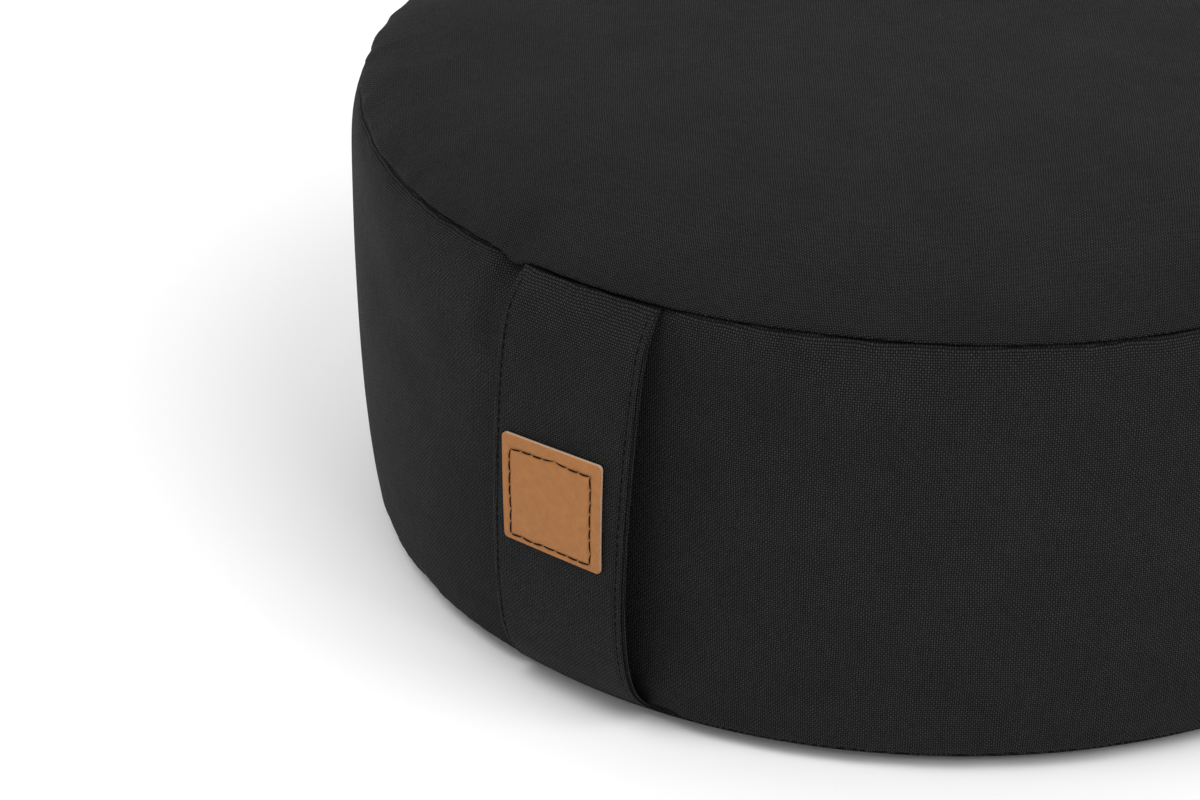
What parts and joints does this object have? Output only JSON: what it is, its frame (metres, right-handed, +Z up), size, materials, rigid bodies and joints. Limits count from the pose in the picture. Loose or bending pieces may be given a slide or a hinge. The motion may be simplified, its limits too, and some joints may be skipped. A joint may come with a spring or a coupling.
{
  "type": "zafu meditation cushion",
  "caption": "Round filled meditation cushion of dark canvas with a crowned top, a flat base, a carry handle sewn down one side and a small leather patch.",
  "frame": {"origin": "centre of the flat base, on the surface that the cushion rests on", "axes": "+Z up through the crown of the cushion, -Y out through the carry handle"},
  "size_m": [0.3305, 0.3394, 0.148],
  "materials": {
    "canvas": "matt plain weave",
    "leather": "smooth, satin"
  },
  "bodies": {
    "root": {"cushion": "canvas", "handle": "canvas", "patch": "leather"}
  },
  "joints": []
}
